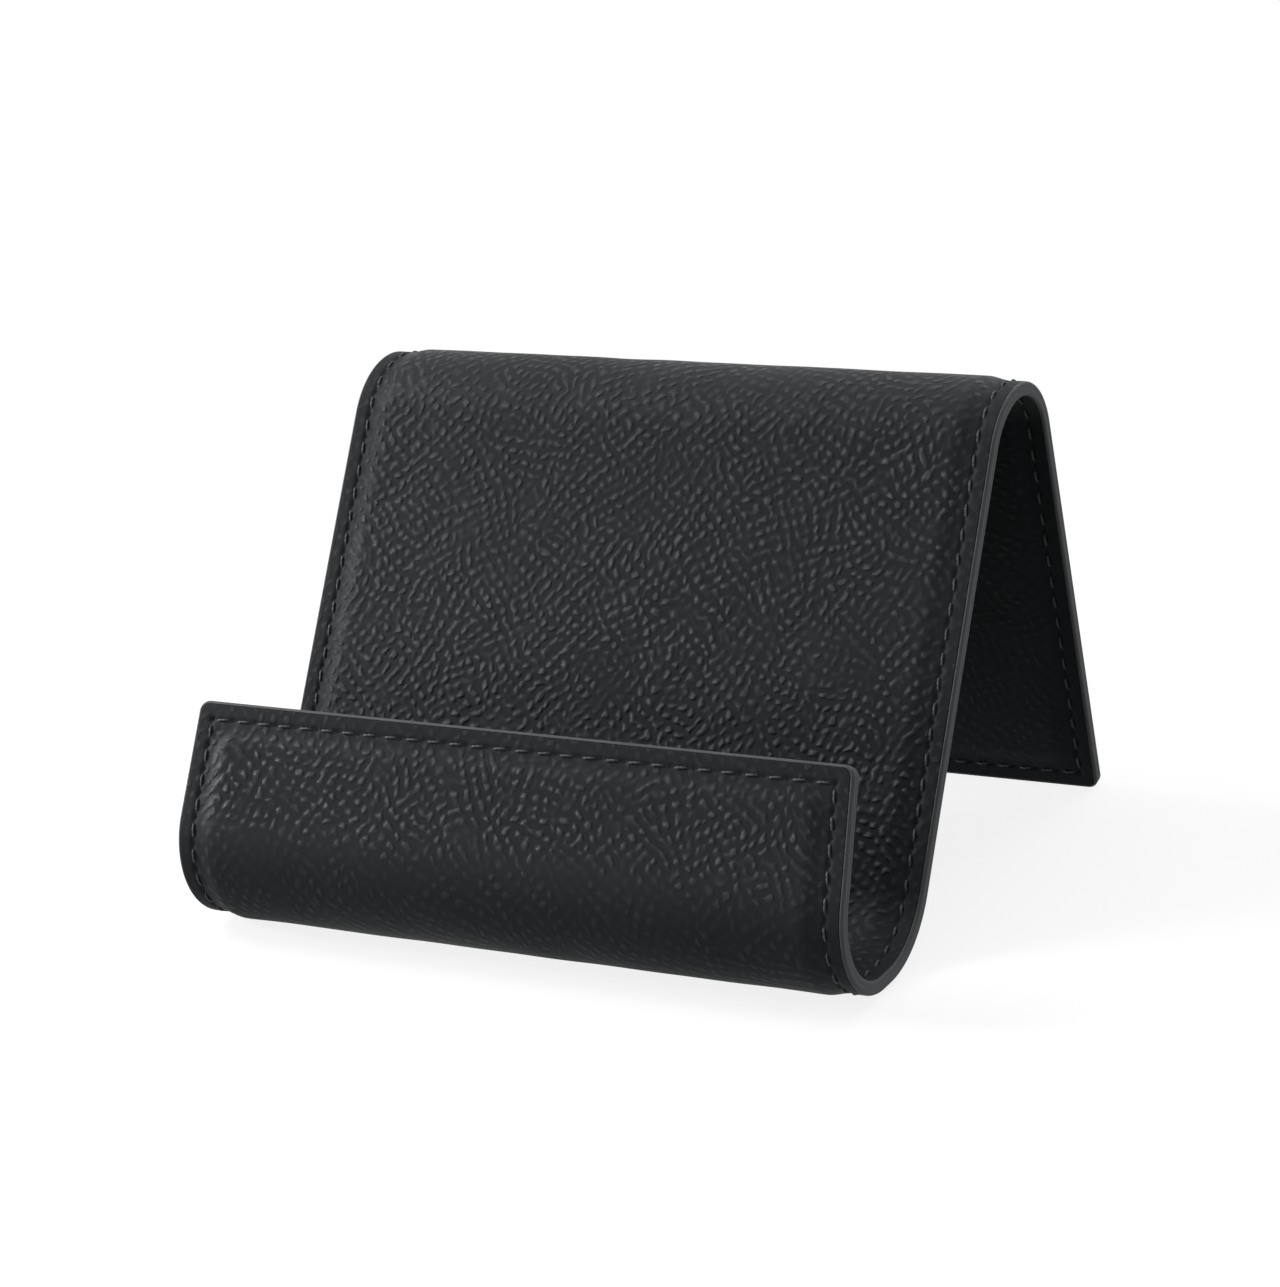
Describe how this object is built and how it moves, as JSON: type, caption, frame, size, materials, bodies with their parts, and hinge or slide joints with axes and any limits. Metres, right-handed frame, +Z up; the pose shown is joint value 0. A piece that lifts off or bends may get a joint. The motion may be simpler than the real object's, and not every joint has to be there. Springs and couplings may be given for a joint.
{
  "type": "phone holder",
  "caption": "Desk phone holder bent from a stiffened, stitched leather strip, with a front lip, a rounded channel, a leaning backrest and a back leg.",
  "frame": {"origin": "on the desk, under the middle of the holder's bounding box", "axes": "+X along the width, +Z up, -Y towards the person who looks at the phone"},
  "size_m": [0.1, 0.09, 0.0669],
  "materials": {
    "grained_leather": "black pebbled leather, satin, with a slightly padded middle",
    "seam_thread": "black twisted sewing thread",
    "edge_paint": "black edge paint, matte, over a cut rim with rounded corners",
    "core_steel": "bare bent steel sheet, hidden",
    "interlining": "pale bonded-fibre sheet, hidden"
  },
  "bodies": {
    "root": {"cover_front": "grained_leather", "cover_back": "grained_leather", "core_plate": "core_steel", "interlining_front": "interlining", "interlining_back": "interlining", "needle_thread": "seam_thread", "bobbin_thread": "seam_thread", "edge_paint": "edge_paint"}
  },
  "joints": []
}
